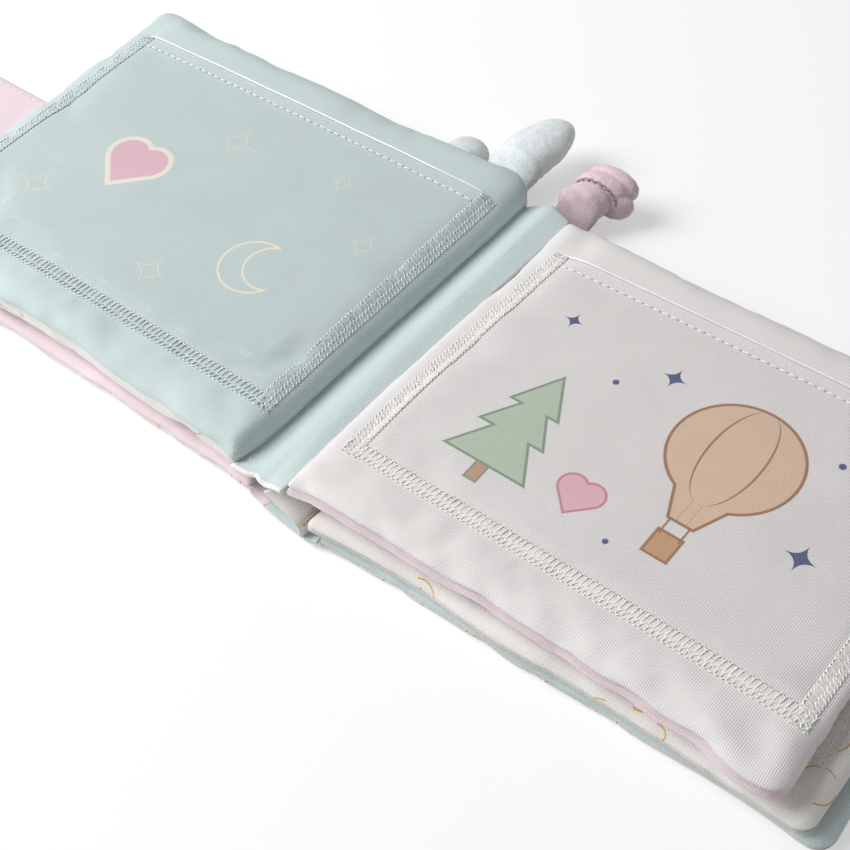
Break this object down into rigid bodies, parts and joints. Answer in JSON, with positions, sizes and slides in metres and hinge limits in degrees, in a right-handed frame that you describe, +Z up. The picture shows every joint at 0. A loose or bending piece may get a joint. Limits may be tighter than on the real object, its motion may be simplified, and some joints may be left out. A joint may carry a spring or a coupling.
{
  "type": "fabric photo album",
  "caption": "Soft cloth photo album for a baby, lying open: padded covers, padded leaves with clear photo windows, a closing strap and plush tabs.",
  "frame": {"origin": "on the table under the middle of the spine, half way along it", "axes": "+X along the open spread towards the back cover, +Y along the spine away from the reader, +Z up"},
  "size_m": [0.4718, 0.1962, 0.0279],
  "materials": {
    "mint_cloth": "ribbed jersey",
    "white_cloth": "ribbed jersey",
    "pink_cloth": "ribbed jersey",
    "cream_cloth": "printed jersey",
    "wadding": "loose fibre",
    "film": "clear soft film",
    "teal_thread": "overlock stitching",
    "ivory_thread": "stitching",
    "tan_thread": "chain stitching",
    "mint_plush": "short plush",
    "grey_plush": "short plush",
    "pink_plush": "short plush",
    "patch": "hook-and-loop tape"
  },
  "bodies": {
    "base": {"back_cover_lining": "mint_cloth", "back_cover_outer_cloth": "cream_cloth", "back_cover_wadding": "wadding", "loop_patch": "patch", "spine_outer_cloth": "cream_cloth", "spine_pink_lining": "pink_cloth", "spine_mint_lining": "mint_cloth", "mint_gusset_strip": "mint_cloth", "cream_gusset_strip": "cream_cloth"},
    "front_cover": {"front_cover_lining": "pink_cloth", "front_cover_outer_cloth": "cream_cloth", "front_cover_wadding": "wadding"},
    "leaf_1": {"leaf_1_upper_cloth": "mint_cloth", "leaf_1_lower_cloth": "cream_cloth", "leaf_1_wadding": "wadding", "leaf_1_upper_window_film": "film", "leaf_1_upper_window_overlock_seam": "teal_thread", "leaf_1_upper_window_hem_stitch": "ivory_thread", "leaf_1_lower_window_film": "film", "leaf_1_lower_window_overlock_seam": "ivory_thread", "leaf_1_lower_window_hem_stitch": "ivory_thread", "leaf_1_valley_stitch": "tan_thread"},
    "leaf_3": {"leaf_3_upper_cloth": "cream_cloth", "leaf_3_lower_cloth": "cream_cloth", "leaf_3_wadding": "wadding", "leaf_3_upper_window_film": "film", "leaf_3_upper_window_overlock_seam": "ivory_thread", "leaf_3_upper_window_hem_stitch": "ivory_thread", "leaf_3_lower_window_film": "film", "leaf_3_lower_window_overlock_seam": "ivory_thread", "leaf_3_lower_window_hem_stitch": "ivory_thread", "leaf_3_valley_stitch": "tan_thread"},
    "leaf_2": {"leaf_2_upper_cloth": "white_cloth", "leaf_2_lower_cloth": "pink_cloth", "leaf_2_wadding": "wadding", "leaf_2_upper_window_film": "film", "leaf_2_upper_window_overlock_seam": "ivory_thread", "leaf_2_upper_window_hem_stitch": "ivory_thread", "leaf_2_lower_window_film": "film", "leaf_2_lower_window_overlock_seam": "ivory_thread", "leaf_2_lower_window_hem_stitch": "ivory_thread", "leaf_2_ridge_stitch": "ivory_thread"},
    "closing_strap": {"closing_strap_inner_cloth": "pink_cloth", "closing_strap_outer_cloth": "cream_cloth", "hook_patch": "patch"},
    "mint_tab": {"mint_plush_tab": "mint_plush"},
    "grey_tab": {"grey_plush_tab": "grey_plush"},
    "pink_tab": {"pink_plush_tab": "pink_plush", "pink_plush_tab_end": "pink_plush"}
  },
  "joints": [
    {"name": "front_cover_fold", "type": "hinge", "parent": "base", "child": "front_cover", "pos_m": [-0.01385, 0, 0.008], "axis": [0, 1, 0], "range_deg": [0, 70], "deforming": ["mint_gusset_strip"]},
    {"name": "leaf_1_turn", "type": "hinge", "parent": "front_cover", "child": "leaf_1", "pos_m": [-0.0134, 0, 0.015], "axis": [0, -1, 0], "range_deg": [-85, 0], "deforming": ["mint_gusset_strip"]},
    {"name": "leaf_3_turn", "type": "hinge", "parent": "base", "child": "leaf_3", "pos_m": [0.0139, 0, 0.0108], "axis": [0, -1, 0], "range_deg": [0, 25], "deforming": ["cream_gusset_strip"]},
    {"name": "leaf_2_turn", "type": "hinge", "parent": "leaf_3", "child": "leaf_2", "pos_m": [0.0043, 0, 0.0205], "axis": [0, 1, 0], "range_deg": [-85, 0]},
    {"name": "strap_fold", "type": "hinge", "parent": "front_cover", "child": "closing_strap", "pos_m": [-0.2018, 0, 0.0042], "axis": [0, 1, 0], "range_deg": [0, 90]},
    {"name": "mint_tab_flex", "type": "hinge", "parent": "front_cover", "child": "mint_tab", "pos_m": [-0.031, 0.0786, 0.01295], "axis": [-1, 0, 0], "range_deg": [-40, 0]},
    {"name": "grey_tab_flex", "type": "hinge", "parent": "front_cover", "child": "grey_tab", "pos_m": [-0.054, 0.0783, 0.0128], "axis": [-1, 0, 0], "range_deg": [-40, 0]},
    {"name": "pink_tab_flex", "type": "hinge", "parent": "base", "child": "pink_tab", "pos_m": [-0.002, 0.0817, 0.0137], "axis": [-1, 0, 0], "range_deg": [-40, 0]}
  ]
}
